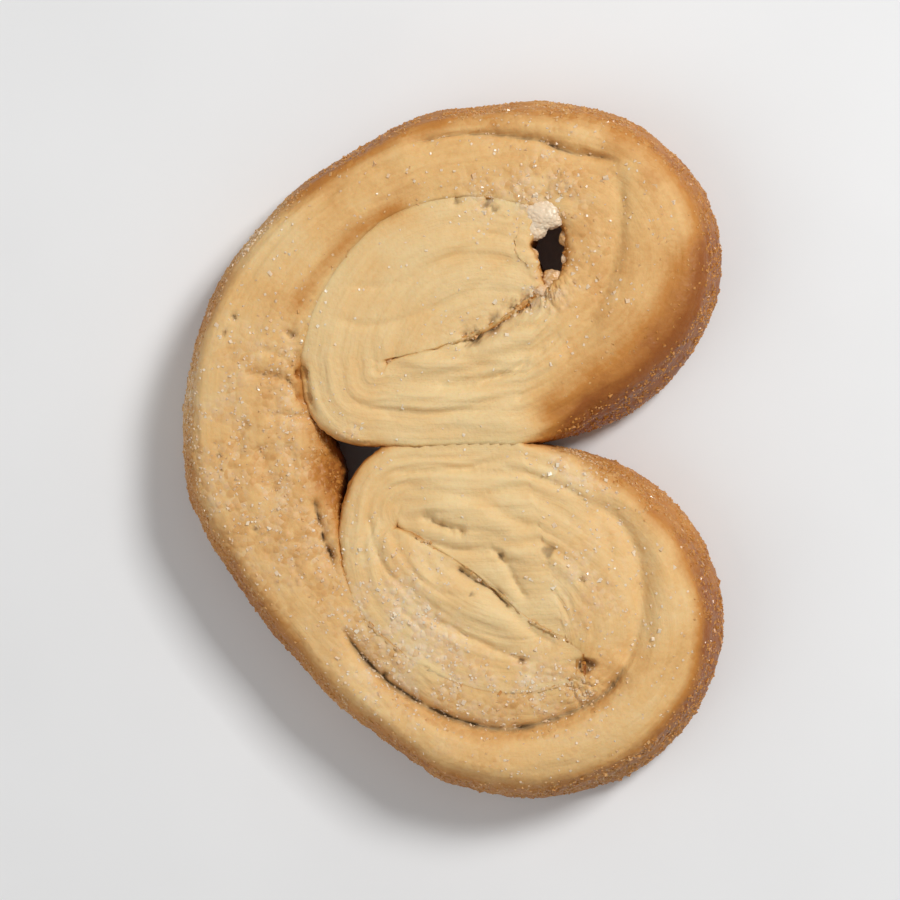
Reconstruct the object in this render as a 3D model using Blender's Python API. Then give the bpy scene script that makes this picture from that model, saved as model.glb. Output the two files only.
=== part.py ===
"""Palmier: a heart-shaped puff pastry, made of one strip of sugared dough.

The strip starts at the core of the upper lobe, turns back at that lobe's inner tip, goes round the
lobe, down the back of the heart, round the lower lobe and in again to the lower core. Each stage of
that route is a pair of curves, the strip's outer and inner side, and the solid is one cross-section
swept between them. Where turns of the strip touch, they are pressed together and fused.

+Z is up, +X points out of the heart's cleft and +Y to the upper lobe. The palmier lies on its flat
underside, with its origin at the centre of its base.
"""

from collections import namedtuple
import math

import bmesh
import bpy
import numpy as np

MM = 0.001

# Cross-section of the strip, in millimetres
THICKNESS = 11.5
PRESS = 0.25  # how far each of two touching turns is pressed into the other
PRESS_START = 1.5  # distance from an inner tip's pivot over which the pressing sets in
BASE_EDGE = 1.4  # width and height of the rounded edge round the flat underside
INNER_LIFT = 0.4  # the inner turns stand this much off the surface that the rest lies on
END_BEVEL = 0.7  # width of the bevel round the strip's two ends
UPPER_END_DEPTH = 0.6  # how far the upper end stands out past its last cross-section
LOWER_END_DEPTH = 2.0  # the lower end is buried in the turn round it
JOIN_DEPTH = 0.8  # how far the two halves reach into each other at the back
CREASE_HALF_WIDTH = 1.1
EDGE_SHARE = 0.35  # a rounded top edge takes at most this share of the strip's width

STATION_PITCH = 1.7  # distance between cross-sections along the strip's outer side
BLEND_STATIONS = 4  # one stage's section blends into the next over this many stations to each side

# Outline: two lobes that meet at the cleft, the arc of the back, and the flanks between them
UPPER_LOBE = ((8.3, 19.1), (20.6, 18.0), 14.0)
LOWER_LOBE = ((8.6, -18.2), (20.4, 18.8), 0.0)
BACK = ((4.0, 2.5), (32.6, 32.6), 0.0)
UPPER_FLANK = [(-4.0, 35.3)]
LOWER_FLANK = [(-24.9, -10.9), (-18.8, -19.6), (-11.2, -27.8)]

# Inner tips, where the strip turns back on itself
UPPER_PIVOT = (-6.0, 9.6)
LOWER_PIVOT = (-5.0, -8.0)
UPPER_TIP = [(-15.3, 10.0), (-14.6, 5.2), (-12.7, 2.3), (-9.8, 0.9), (-6.0, 0.8)]
LOWER_TIP = [(-3.0, 0.8), (-6.8, 0.1), (-9.6, -2.6), (-11.1, -7.5), (-10.9, -12.0)]

# Seams, where one turn of the strip lies against the next
UPPER_CONTACT = [(-6.0, 0.8), (1.0, 0.9), (7.7, 0.9)]
LOWER_CONTACT = [(7.9, 0.9), (2.0, 0.9), (-3.0, 0.8)]
UPPER_SEAM = [(9.2, 25.7), (4.0, 26.8), (-2.0, 26.2), (-7.0, 24.0), (-11.0, 19.8), (-13.8, 15.0), (-15.3, 10.0)]
LOWER_SEAM = [(-10.9, -12.0), (-9.4, -16.0), (-5.8, -20.3), (0.0, -23.8), (6.5, -25.4), (13.2, -24.4)]
UPPER_CREASE = [(10.2, 16.6), (4.5, 13.0), (-1.0, 10.8), UPPER_PIVOT]
LOWER_CREASE = [LOWER_PIVOT, (-1.0, -10.2), (3.0, -12.8), (6.5, -15.6), (9.0, -17.9), (12.8, -19.8)]
UPPER_EYE = [(10.2, 16.6), (12.4, 19.2), (12.8, 22.0), (11.8, 24.6), (9.2, 25.7)]
LOWER_EYE = [(13.2, -24.4), (13.6, -23.2), (13.7, -22.0), (13.4, -20.8), (12.8, -19.8)]
BACK_INSIDE = [(-15.3, 10.0), (-14.9, 6.0), (-13.6, 3.0), (-12.3, 0.8), (-11.3, -2.0), (-11.3, -6.5), (-10.9, -12.0)]

PASTRY_COLOUR = (0.72, 0.50, 0.24, 1.0)
PASTRY_ROUGHNESS = 0.6
SHARP_ANGLE = 70.0

# height: as a share of THICKNESS. bulge: how far the outer wall leans in from mid height to its top.
# outer_edge and inner_edge: width and drop of the two rounded top edges.
# crease: distance of the rim's crease from the outer side, and its depth.
Section = namedtuple("Section", "height bulge outer_edge inner_edge crease lift")
UPPER_TURN = Section(0.97, 0.0, (1.7, 1.5), (1.5, 1.3), (4.5, 0.3), INNER_LIFT)
LOWER_TURN = Section(0.95, 0.0, (1.7, 1.5), (1.3, 1.1), (4.2, 0.4), INNER_LIFT)
UPPER_RIM = Section(1.0, 0.9, (4.0, 4.2), (1.6, 1.4), (8.2, 0.6), 0.0)
CROWN_RIM = Section(0.99, 0.9, (3.3, 3.8), (1.5, 1.2), (4.0, 0.9), 0.0)
BACK_RIM = Section(0.97, 0.9, (3.6, 3.8), (4.4, 7.0), (6.0, 0.2), 0.0)
LOWER_RIM = Section(0.98, 0.9, (3.7, 4.2), (1.5, 1.2), (7.7, 1.3), 0.0)


def arc(ellipse, start, end, count=40):
    """Points on an ellipse ((centre), (radii), tilt) from one angle to another, in degrees."""
    centre, radii, tilt = ellipse
    angle = np.radians(np.linspace(start, end, count))
    x, y = radii[0] * np.cos(angle), radii[1] * np.sin(angle)
    c, s = math.cos(math.radians(tilt)), math.sin(math.radians(tilt))
    return np.stack([centre[0] + c * x - s * y, centre[1] + s * x + c * y], axis=1)


def smooth_line(points, steps=16):
    """A Catmull-Rom curve through a few points."""
    p = np.array(points, float)
    p = np.concatenate([[2 * p[0] - p[1]], p, [2 * p[-1] - p[-2]]])
    t = np.linspace(0, 1, steps, endpoint=False)[:, None]
    line = [
        0.5 * (2 * b + (c - a) * t + (2 * a - 5 * b + 4 * c - d) * t**2 + (3 * b - a - 3 * c + d) * t**3)
        for a, b, c, d in zip(p, p[1:], p[2:], p[3:])
    ]
    return np.concatenate([*line, p[-2:-1]])


def resample(line, count):
    """The same line as evenly spaced points."""
    along = np.concatenate([[0.0], np.cumsum(np.linalg.norm(np.diff(line, axis=0), axis=1))])
    at = np.linspace(0, along[-1], count)
    return np.stack([np.interp(at, along, line[:, k]) for k in (0, 1)], axis=1)


def line_length(line):
    return float(np.linalg.norm(np.diff(line, axis=0), axis=1).sum())


def outline():
    """The strip's free outer side, from the cleft round the heart and back to it, in five stretches."""
    lobe_top = arc(UPPER_LOBE, 68, 84, 4)
    back_top = arc(BACK, 122, 170, 8)
    crown = smooth_line([*lobe_top, *UPPER_FLANK, *back_top])
    back_low = arc(BACK, 170, 194, 5)
    lobe_low = arc(LOWER_LOBE, 240, 290, 8)
    back = smooth_line([*back_low, *LOWER_FLANK[:2]])
    bottom = smooth_line([*LOWER_FLANK[1:], *lobe_low])
    return arc(UPPER_LOBE, -104, 68), crown, back, bottom, arc(LOWER_LOBE, 290, 452)


def fold_plan():
    """The stages of the strip, from the upper core to the lower core: outer side, inner side, section."""
    upper_lobe, crown, back, bottom, lower_lobe = outline()
    upper_seam, lower_seam = smooth_line(UPPER_SEAM), smooth_line(LOWER_SEAM)
    upper_crease, lower_crease = smooth_line(UPPER_CREASE), smooth_line(LOWER_CREASE)
    upper_pivot, lower_pivot = np.array([UPPER_PIVOT] * 2), np.array([LOWER_PIVOT] * 2)
    return [
        (upper_seam, upper_crease, UPPER_TURN),
        (smooth_line(UPPER_TIP), upper_pivot, UPPER_TURN),
        (smooth_line(UPPER_CONTACT), upper_crease[::-1], UPPER_TURN),
        (upper_lobe, smooth_line(UPPER_EYE), UPPER_RIM),
        (crown, upper_seam, CROWN_RIM),
        (back, smooth_line(BACK_INSIDE), BACK_RIM),
        (bottom, lower_seam, LOWER_RIM),
        (lower_lobe, smooth_line(LOWER_EYE), LOWER_RIM),
        (smooth_line(LOWER_CONTACT), lower_crease[::-1], LOWER_TURN),
        (smooth_line(LOWER_TIP), lower_pivot, LOWER_TURN),
        (lower_seam, lower_crease, LOWER_TURN),
    ]


def blend(values):
    """Each station's section values, averaged with those of its neighbours."""
    padded = np.pad(values, ((BLEND_STATIONS, BLEND_STATIONS), (0, 0)), mode="edge")
    span = 2 * BLEND_STATIONS + 1
    return np.stack([padded[k : k + span].mean(axis=0) for k in range(len(values))])


def stations():
    """Outer points, inner points and section values of all cross-sections along the strip."""
    outer, inner, sections = [], [], []
    for outer_line, inner_line, section in fold_plan():
        count = max(3, round(line_length(outer_line) / STATION_PITCH))
        outer.append(resample(outer_line, count + 1)[:-1])
        inner.append(resample(inner_line, count + 1)[:-1])
        sections += [np.hstack(section)] * count
    outer.append(outer_line[-1:])
    inner.append(inner_line[-1:])
    sections.append(sections[-1])
    return np.concatenate(outer), np.concatenate(inner), blend(np.array(sections))


def pressed(point):
    """How far the inner side is pressed in: nothing at a pivot, where the strip folds on itself."""
    reach = min(math.dist(point, UPPER_PIVOT), math.dist(point, LOWER_PIVOT))
    return PRESS * min(1.0, reach / PRESS_START)


def quarter_round(start, width, base, height, turns):
    """Points round a quarter ellipse: along the strip's width from start, and up from base."""
    angles = np.radians(turns)
    return [(start + width * math.cos(a), base + height * math.sin(a)) for a in angles]


def ring(outer, inner, values):
    """One closed cross-section, anticlockwise seen along the strip, as 3-D points in millimetres."""
    height, bulge, outer_w, outer_drop, inner_w, inner_drop, crease_at, crease_depth, lift = values
    top, width = THICKNESS * height, math.dist(outer, inner)
    side = width + pressed(inner)
    outer_w, inner_w = min(outer_w, EDGE_SHARE * side), min(inner_w, EDGE_SHARE * side)
    half = min(CREASE_HALF_WIDTH, 0.2 * (side - outer_w - inner_w))
    crease_at = min(max(crease_at, outer_w + 1.5 * half), side - inner_w - 2.5 * half)
    foot, wall_top, lean = lift + BASE_EDGE, top - outer_drop, bulge - PRESS

    profile = quarter_round(BASE_EDGE, -BASE_EDGE - PRESS, foot, -BASE_EDGE, (90, 45))
    for share in (0.0, 0.35, 0.7):
        stands_in = bulge * (1 - math.sin(math.pi * (0.35 + 0.65 * share))) - PRESS
        profile.append((stands_in, foot + share * (wall_top - foot)))
    profile += quarter_round(outer_w, lean - outer_w, wall_top, outer_drop, (0, 30, 60, 90))
    profile.append((crease_at - half, top))
    profile.append((crease_at, top - crease_depth))
    profile.append((crease_at + 2 * half, top - 0.4 * crease_depth))
    profile += quarter_round(side - inner_w, inner_w, top - inner_drop, inner_drop, (90, 60, 30, 0))
    profile.append((side, 0.5 * (top - inner_drop)))
    profile.append((side, lift))

    start = np.array(outer, float)
    across = (np.array(inner, float) - start) / width
    return [(*(start + across * s), z) for s, z in profile]


def sweep(outer, inner, sections, start_depth, end_depth):
    """A closed length of strip; its two ends are bevelled and stand out by the given depths."""
    rings = [ring(*station) for station in zip(outer, inner, sections)]
    size = len(rings[0])
    bm = bmesh.new()
    bmesh.ops.create_grid(bm, x_segments=size, y_segments=len(rings) - 1, size=1.0)
    bm.verts.ensure_lookup_table()
    for row, points in enumerate(rings):
        for column in range(size + 1):
            bm.verts[row * (size + 1) + column].co = points[column % size]
    bmesh.ops.remove_doubles(bm, verts=bm.verts[:], dist=0.0001)
    bmesh.ops.holes_fill(bm, edges=[e for e in bm.edges if e.is_boundary])
    bmesh.ops.recalc_face_normals(bm, faces=bm.faces[:])
    caps = [face for face in bm.faces if len(face.verts) > 4]
    start = np.array([*outer[0], 0.0])
    caps.sort(key=lambda face: math.dist(face.calc_center_median(), start))
    for face, depth in zip(caps, (start_depth, end_depth)):
        bmesh.ops.inset_region(bm, faces=[face], thickness=END_BEVEL, depth=depth)
    return bm


def centre_on_base(bmeshes):
    """Move the meshes together so that their common box stands centred on the origin, in metres."""
    points = np.array([v.co for bm in bmeshes for v in bm.verts])
    low, high = points.min(axis=0), points.max(axis=0)
    shift = (*(-0.5 * (low + high))[:2], -low[2])
    for bm in bmeshes:
        bmesh.ops.translate(bm, vec=shift, verts=bm.verts[:])
        bmesh.ops.scale(bm, vec=(MM, MM, MM), verts=bm.verts[:])


def add_object(name, bm, material):
    """A new object from a bmesh, shaded smooth but for the sharp edge of its underside."""
    mesh = bpy.data.meshes.new(name)
    bm.to_mesh(mesh)
    bm.free()
    mesh.shade_smooth()
    mesh.set_sharp_from_angle(angle=math.radians(SHARP_ANGLE))
    mesh.materials.append(material)
    obj = bpy.data.objects.new(name, mesh)
    bpy.context.scene.collection.objects.link(obj)
    return obj


def pastry_material():
    material = bpy.data.materials.new("baked pastry")
    material.use_nodes = True
    shader = material.node_tree.nodes["Principled BSDF"]
    shader.inputs["Base Color"].default_value = PASTRY_COLOUR
    shader.inputs["Roughness"].default_value = PASTRY_ROUGHNESS
    shader.inputs["Metallic"].default_value = 0.0
    return material


def build():
    """The two halves of the strip, joined at the back of the heart and fused where turns touch."""
    for old in list(bpy.data.objects):
        bpy.data.objects.remove(old)
    outer, inner, sections = stations()
    middle = len(outer) // 2
    upper, lower = slice(0, middle + 1), slice(middle, None)
    halves = [
        sweep(outer[upper], inner[upper], sections[upper], UPPER_END_DEPTH, JOIN_DEPTH),
        sweep(outer[lower], inner[lower], sections[lower], JOIN_DEPTH, LOWER_END_DEPTH),
    ]
    centre_on_base(halves)

    pastry = pastry_material()
    palmier = add_object("palmier", halves[0], pastry)
    lower_half = add_object("lower half", halves[1], pastry)
    lower_half.hide_render = True
    lower_half.display_type = "WIRE"
    fuse = palmier.modifiers.new("fuse", "BOOLEAN")
    fuse.operation = "UNION"
    fuse.solver = "EXACT"
    fuse.use_self = True
    fuse.object = lower_half


if __name__ == "__main__":
    build()
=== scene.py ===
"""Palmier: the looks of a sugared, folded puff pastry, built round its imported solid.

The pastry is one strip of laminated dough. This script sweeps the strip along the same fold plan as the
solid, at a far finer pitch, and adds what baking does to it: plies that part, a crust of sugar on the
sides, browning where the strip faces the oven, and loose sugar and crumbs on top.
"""

import math
from collections import namedtuple

import bmesh
import bpy
import numpy as np
from bpy.props import FloatProperty, FloatVectorProperty, IntProperty, PointerProperty
from mathutils import Matrix, Vector, noise


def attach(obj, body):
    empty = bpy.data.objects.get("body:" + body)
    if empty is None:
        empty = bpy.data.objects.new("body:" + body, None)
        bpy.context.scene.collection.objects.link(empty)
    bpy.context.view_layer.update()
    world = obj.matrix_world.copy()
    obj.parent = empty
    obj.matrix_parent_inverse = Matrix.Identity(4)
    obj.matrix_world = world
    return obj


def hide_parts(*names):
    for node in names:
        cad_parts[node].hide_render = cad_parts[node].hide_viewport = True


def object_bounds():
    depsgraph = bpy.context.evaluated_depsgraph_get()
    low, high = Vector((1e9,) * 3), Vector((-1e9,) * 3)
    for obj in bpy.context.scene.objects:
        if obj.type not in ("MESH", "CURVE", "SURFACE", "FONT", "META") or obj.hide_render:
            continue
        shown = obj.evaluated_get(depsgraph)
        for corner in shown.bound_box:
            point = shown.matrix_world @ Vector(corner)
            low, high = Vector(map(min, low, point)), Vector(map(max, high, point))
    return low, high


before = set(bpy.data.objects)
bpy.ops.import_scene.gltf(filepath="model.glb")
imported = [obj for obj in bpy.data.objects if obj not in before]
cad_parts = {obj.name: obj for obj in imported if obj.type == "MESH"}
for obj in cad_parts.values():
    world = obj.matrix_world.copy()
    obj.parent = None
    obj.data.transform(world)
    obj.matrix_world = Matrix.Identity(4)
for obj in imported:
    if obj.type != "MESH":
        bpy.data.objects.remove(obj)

bl_info = {
    "name": "Palmier",
    "version": (1, 0, 0),
    "blender": (4, 5, 0),
    "location": "3D View > Sidebar > Palmier",
    "description": "Builds a sugared palmier pastry round its solid model",
    "category": "Add Mesh",
}

MM = 0.001
CAD_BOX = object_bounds()

# Fold plan, in millimetres -------------------------------------------------------------------------

THICKNESS = 11.5
PRESS = 0.25
PRESS_START = 1.5
BASE_EDGE = 1.4
INNER_LIFT = 0.4
END_BEVEL = 0.7
UPPER_END_DEPTH = 0.6
LOWER_END_DEPTH = 2.0
EDGE_SHARE = 0.35
BLEND_REACH = 4.0
CONTACT_SHARE = 0.07  # of each lobe's side, that still lies flush with the other lobe

UPPER_LOBE = ((8.3, 19.1), (20.6, 18.0), 14.0)
LOWER_LOBE = ((8.6, -18.2), (20.4, 18.8), 0.0)
BACK = ((4.0, 2.5), (32.6, 32.6), 0.0)
UPPER_FLANK = [(-4.0, 35.3)]
LOWER_FLANK = [(-24.9, -10.9), (-18.8, -19.6), (-11.2, -27.8)]
UPPER_PIVOT = (-6.0, 9.6)
LOWER_PIVOT = (-5.0, -8.0)
UPPER_TIP = [(-15.3, 10.0), (-14.6, 5.2), (-12.7, 2.3), (-9.8, 0.9), (-6.0, 0.8)]
LOWER_TIP = [(-3.0, 0.8), (-6.8, 0.1), (-9.6, -2.6), (-11.1, -7.5), (-10.9, -12.0)]
UPPER_CONTACT = [(-6.0, 0.8), (1.0, 0.9), (7.7, 0.9)]
LOWER_CONTACT = [(7.9, 0.9), (2.0, 0.9), (-3.0, 0.8)]
UPPER_SEAM = [(9.2, 25.7), (4.0, 26.8), (-2.0, 26.2), (-7.0, 24.0), (-11.0, 19.8), (-13.8, 15.0), (-15.3, 10.0)]
LOWER_SEAM = [(-10.9, -12.0), (-9.4, -16.0), (-5.8, -20.3), (0.0, -23.8), (6.5, -25.4), (13.2, -24.4)]
UPPER_CREASE = [(10.2, 16.6), (4.5, 13.0), (-1.0, 10.8), UPPER_PIVOT]
LOWER_CREASE = [LOWER_PIVOT, (-1.0, -10.2), (3.0, -12.8), (6.5, -15.6), (9.0, -17.9), (12.8, -19.8)]
UPPER_EYE = [(10.2, 16.6), (12.4, 19.2), (12.8, 22.0), (11.8, 24.6), (9.2, 25.7)]
LOWER_EYE = [(13.2, -24.4), (13.6, -23.2), (13.7, -22.0), (13.4, -20.8), (12.8, -19.8)]
BACK_INSIDE = [(-15.3, 10.0), (-14.9, 6.0), (-13.6, 3.0), (-12.3, 0.8), (-11.3, -2.0), (-11.3, -6.5), (-10.9, -12.0)]

# height: share of THICKNESS. bulge: how far the outer wall leans in at its top. outer_edge, inner_edge:
# width and drop of the top's two rounded edges. lift: how far the turn stands off the table.
# ply: depth of the ridges that the parted plies make on top. crust, toast: how far sugar covers the top
# and how brown it is.
Section = namedtuple("Section", "height bulge outer_edge inner_edge lift ply crust toast")
UPPER_CORE = Section(0.955, 0.0, (0.4, 0.06), (0.6, 0.12), INNER_LIFT, 0.16, 0.05, 0.12)
UPPER_FOLD = Section(0.950, 0.0, (1.8, 1.6), (1.2, 0.9), INNER_LIFT, 0.20, 0.05, 0.12)
UPPER_RETURN = Section(0.950, 0.0, (0.3, 0.03), (0.6, 0.12), INNER_LIFT, 0.32, 0.05, 0.10)
UPPER_RIM = Section(0.965, 0.9, (4.0, 4.2), (1.6, 1.4), 0.0, 0.10, 0.25, 0.28)
CROWN_RIM = Section(0.955, 0.9, (3.3, 3.8), (0.4, 0.06), 0.0, 0.14, 0.20, 0.30)
BACK_RIM = Section(0.945, 0.9, (3.6, 3.8), (2.0, 1.3), 0.0, 0.12, 0.50, 0.31)
LOWER_RIM = Section(0.947, 0.9, (3.7, 4.2), (0.3, 0.02), 0.0, 0.10, 0.30, 0.24)
LOWER_RETURN = Section(0.943, 0.0, (0.3, 0.03), (0.4, 0.04), INNER_LIFT, 0.30, 0.05, 0.12)
LOWER_FOLD = Section(0.935, 0.0, (1.6, 1.4), (1.1, 0.8), INNER_LIFT, 0.28, 0.10, 0.14)
LOWER_CORE = Section(0.947, 0.0, (0.3, 0.02), (0.4, 0.04), INNER_LIFT, 0.30, 0.30, 0.14)

# Where the back slopes down into the gap between the lobes' tips: middle, reach, added width and drop
GAP_PLACE = (-11.6, -1.4)
GAP_REACH = 4.6
GAP_SLOPE = (3.2, 4.6)

RING_POINTS = 108
INNER_BASE_EDGE = 0.9
TOP_CROWN = 0.22  # how far a turn's top is arched
END_BITE = ((9.4, 21.4), 1.7, 1.3)  # where the strip's first end has crumbled back: place, reach, depth
END_FADE = 5.0
HEADROOM = 0.35  # how much is left of any height past THICKNESS
SEAM_BEVEL = 0.1
SEAM_REACH = 2.5  # how far from where two turns meet the plies show again

# What parted or pressed the plies on top, as lines in the fold plan: depth and half width, how far the
# pastry rolls down beside it, how much lower it stands to the left of the line than to its right, and how
# far crumbs break it up.
Groove = namedtuple("Groove", "depth half_width roll step rough line")
GROOVES = [
    Groove(0.80, 0.36, 0.40, -0.25, 0.3, [(-5, 32.8), (2, 33.6), (8, 33.1), (11, 32.4), (13.2, 31.4), (15, 31.2),
                                          (17, 30.8), (19, 29.8)]),
    Groove(0.20, 0.60, 0.30, -0.15, 0.2, [(17.2, 30.6), (18.5, 28), (18.4, 22), (17, 17), (14.8, 12.6), (11.6, 9)]),
    Groove(1.05, 0.75, 0.10, 0.00, 0.7, [(11, 17), (9, 15.8), (7, 14.7), (5, 13.2), (3.4, 12.1), (1, 11.4)]),
    Groove(0.50, 0.38, 0.00, 0.00, 0.5, [(13, 13), (10, 10.4), (7, 8.4), (4.5, 7.5), (1, 7), (-2, 6.6)]),
    Groove(0.28, 0.40, 0.00, 0.00, 0.3, [(-11, 5.4), (-6, 4.2), (0, 3.9), (6, 4.8), (12, 7.4)]),
    Groove(0.22, 0.35, 0.00, 0.00, 0.3, [(-12.6, 14.6), (-8, 13.2), (-2, 14.7), (4, 17.6), (8, 20.6)]),
    Groove(0.20, 0.35, 0.00, 0.00, 0.3, [(-11.4, 17.4), (-5, 17.6), (1, 20.6), (7, 23.6)]),
    Groove(0.25, 0.50, 0.10, 0.00, 0.3, [(-23, 15), (-17.5, 22.5), (-11, 28), (-4, 31)]),
    Groove(1.20, 0.36, 0.65, 0.35, 0.3, [(-11.2, -17.8), (-9.4, -21), (-7, -23.6), (-5, -25.2), (-2, -27), (2, -28.6),
                                         (6, -29.3), (9, -28.9), (12, -27.9), (16, -26.1), (18.2, -23.8), (19.8, -20.6)]),
    Groove(0.35, 0.70, 0.60, 0.30, 0.2, [(18.6, -23.2), (20.4, -19), (20.9, -15), (20.4, -11), (18.6, -7.4), (15, -4.4)]),
    Groove(0.85, 0.36, 0.00, 0.00, 0.4, [(1, -12), (3, -13.4), (4.8, -14.2), (6, -15.4), (6.9, -16.8)]),
    Groove(0.35, 0.50, 0.00, 0.00, 0.5, [(6.4, -16), (8, -17.8), (10, -19.4), (12, -20.4)]),
    Groove(0.50, 0.36, 0.00, 0.00, 0.3, [(-4.6, -8), (-2, -9.6), (1.5, -10.4), (4.5, -10.2), (6.2, -11.4),
                                         (7.4, -13.8), (9, -16)]),
    Groove(0.65, 0.50, 0.00, 0.00, 0.6, [(-2.8, -6.7), (-1, -7.4), (0.6, -8.2), (2.4, -8.6)]),
    Groove(0.45, 0.36, 0.00, 0.00, 0.3, [(-8.2, -6.4), (-7.4, -10), (-6, -12.8), (-3.6, -15)]),
    Groove(0.35, 0.35, 0.00, 0.00, 0.3, [(-5.6, -7.6), (-4.8, -10.6), (-3, -13), (0, -15), (3.2, -15.3)]),
    Groove(0.40, 0.40, 0.00, 0.00, 0.5, [(-2.6, -17.2), (1, -18.8), (4, -20.4), (7.6, -21.7), (10, -22.2)]),
    Groove(0.30, 0.35, 0.00, 0.00, 0.3, [(-6.5, -2.2), (0, -2.1), (5, -1.4), (8, -2.2), (12.5, -3.8), (16, -6)]),
    Groove(0.25, 0.60, 0.00, 0.00, 0.2, [(13, -4.6), (16.5, -8), (18, -12)]),
    Groove(0.75, 0.32, 0.10, 0.00, 0.4, [(-14.6, 5.4), (-16.6, 7.4), (-18.6, 8), (-21, 8.2)]),
    Groove(0.60, 0.32, 0.10, 0.00, 0.4, [(-14, 3.9), (-15.6, 3.6), (-17.6, 3.8), (-18.8, 3.2)]),
    Groove(0.45, 0.35, 0.05, 0.00, 0.4, [(-15, 7.6), (-17, 9.8), (-19.6, 10.8)]),
    Groove(0.40, 0.60, 0.20, 0.00, 0.3, [(-17.8, -4.8), (-18.8, -2), (-19.8, 0.8)]),
    Groove(0.30, 0.50, 0.10, 0.00, 0.3, [(-22, -1), (-21.8, 1.4), (-21, 3.4)]),
    Groove(0.50, 0.40, 0.10, 0.00, 0.5, [(-16.8, 0.8), (-16.2, -0.8), (-15.4, -1.8)]),
    Groove(0.90, 0.36, 0.20, 0.00, 0.6, [(-13.6, -4.6), (-13.2, -7.4), (-12.9, -9), (-12.2, -10.8), (-11.6, -12.6)]),
    Groove(0.45, 0.35, 0.10, 0.00, 0.8, [(-16.6, 14), (-15.9, 11), (-15.2, 8), (-14.8, 5.4), (-13.8, 3.2)]),
]

# Folds that puffed up above the rest: height and half width along a line
Ridge = namedtuple("Ridge", "height half_width line")
RIDGES = [
    Ridge(0.55, 1.8, [(18.8, 31.6), (20.6, 27.5), (20.8, 22), (19.2, 16), (15.8, 11)]),
    Ridge(0.45, 1.9, [(-8.4, -26), (-2, -30.2), (5, -32.2), (12, -31.2), (19, -27), (22.6, -20), (22.8, -13), (20, -6.4)]),
    Ridge(0.50, 1.3, [(-4.4, -13.4), (1, -15), (5, -17.4), (9.4, -20)]),
    Ridge(0.25, 0.8, [(-6.6, -8.4), (-4.4, -11.8), (-1, -13.8)]),
    Ridge(0.25, 1.4, [(-3.4, -5.2), (3, -6.6), (6.6, -8.6), (9, -12), (11, -15.5)]),
    Ridge(0.32, 1.1, [(-5.5, 8.6), (0, 9.2), (5, 10.8), (10, 13.4), (12.8, 16)]),
    Ridge(0.30, 0.6, [(-12, -6.8), (-11.8, -8.2), (-12, -9.8)]),
    Ridge(0.20, 1.6, [(-27, 4), (-24.6, 12), (-19.6, 20), (-12.4, 26)]),
]

# Small hollows where sugar has melted into the top: place, radius, depth
PITS = [
    ((14.8, -22.6), 1.0, 0.7), ((14.4, -13.5), 0.4, 0.4), ((11, -10.5), 0.7, 0.25), ((5.9, -11), 0.4, 0.3),
    ((2.9, -15), 0.4, 0.3), ((-6.4, -23.6), 0.4, 0.4), ((-12, -10.6), 0.6, 0.8), ((-22.4, 14.1), 0.4, 0.4),
    ((-23.4, 12.4), 0.35, 0.3), ((1.2, 26.2), 0.5, 0.4), ((4.4, 26), 0.6, 0.45), ((5.2, 25.5), 0.4, 0.4),
    ((-15.1, 8.1), 0.5, 0.8), ((-14.8, 5.5), 0.5, 0.9), ((-16.2, 12.4), 0.6, 0.5), ((7.6, 15), 0.4, 0.4),
    ((-20.2, -8.2), 0.4, 0.3), ((-24, -0.4), 0.35, 0.25), ((-23.8, -1.8), 0.35, 0.25), ((8, -22), 0.5, 0.4),
]

# Where the oven browned the pastry more, and where sugar caked on it: place, radius, amount. Some browning
# spots are painted light and shade: pale spots on the left wall and beside the gap are painted light, and dark
# spots at the upper crease's end and the lower lobe's inner right are partly painted shade. The lines after them
# are browned lines: amount, half width, line; those along the rims' creases and the crown's seam are partly
# painted shade.
TOAST_AND_PAINTED_LIGHT = [
    ((25, 12), 7, 0.40), ((16, 5), 4.5, 0.45), ((28, 26), 8, 0.05), ((22, -6.5), 5, -0.12), ((-20, 23), 6, -0.38), ((14, -15.5), 4, -0.35), ((22.5, -18), 4, -0.12), ((5, -26.4), 3, 0.36), ((29, -20), 7, 0.20),
    # ((-15.5, 4)) is pale as painted light on the shaded slope beside the gap; ((17.5, -23)) is partly painted shade
    ((-12.8, -3.2), 2.4, 0.30), ((-15, -22), 6, 0.15), ((-15.5, 4), 4.5, -0.2), ((17.5, -23), 3, 0.12), ((-4, 27), 3, 0.15), ((-12, 24), 3, 0.1),
    ((14.8, -22.6), 2.2, 0.45), ((12, 22), 3.0, -0.20), ((25.6, 22), 5, 0.16), ((16, 21), 4, 0.24),
    # ((-28.5, 6)) is pale as painted light on the left wall; ((18, 30.6)) is painted shade at the upper crease's end
    ((-28.5, 6), 8, -0.40), ((-26, -8), 5, -0.12), ((8, 37), 6, -0.22), ((12.5, -1.2), 3.5, -0.4), ((18, 30.6), 1.6, 0.25), ((22, -30), 6, 0.02), ((-21, 1), 6, 0.12), ((14, 21), 4, 0.08), ((8, 31), 6, 0.08),
    ((-11, 26), 5, 0.14), ((-10, -15), 4, 0.12), ((14, -24), 4, 0.04), ((-5, -22), 5, -0.20), ((-16, -26), 6, -0.2), ((4, -26), 5, -0.1), ((15, -29), 4, -0.12), ((8, -15), 4, -0.06),
    ((5, -17.5), 4, -0.12), ((1, 3), 4, -0.08), ((3, 9.5), 4, -0.08), ((2, -6), 4, -0.08),
]
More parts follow.
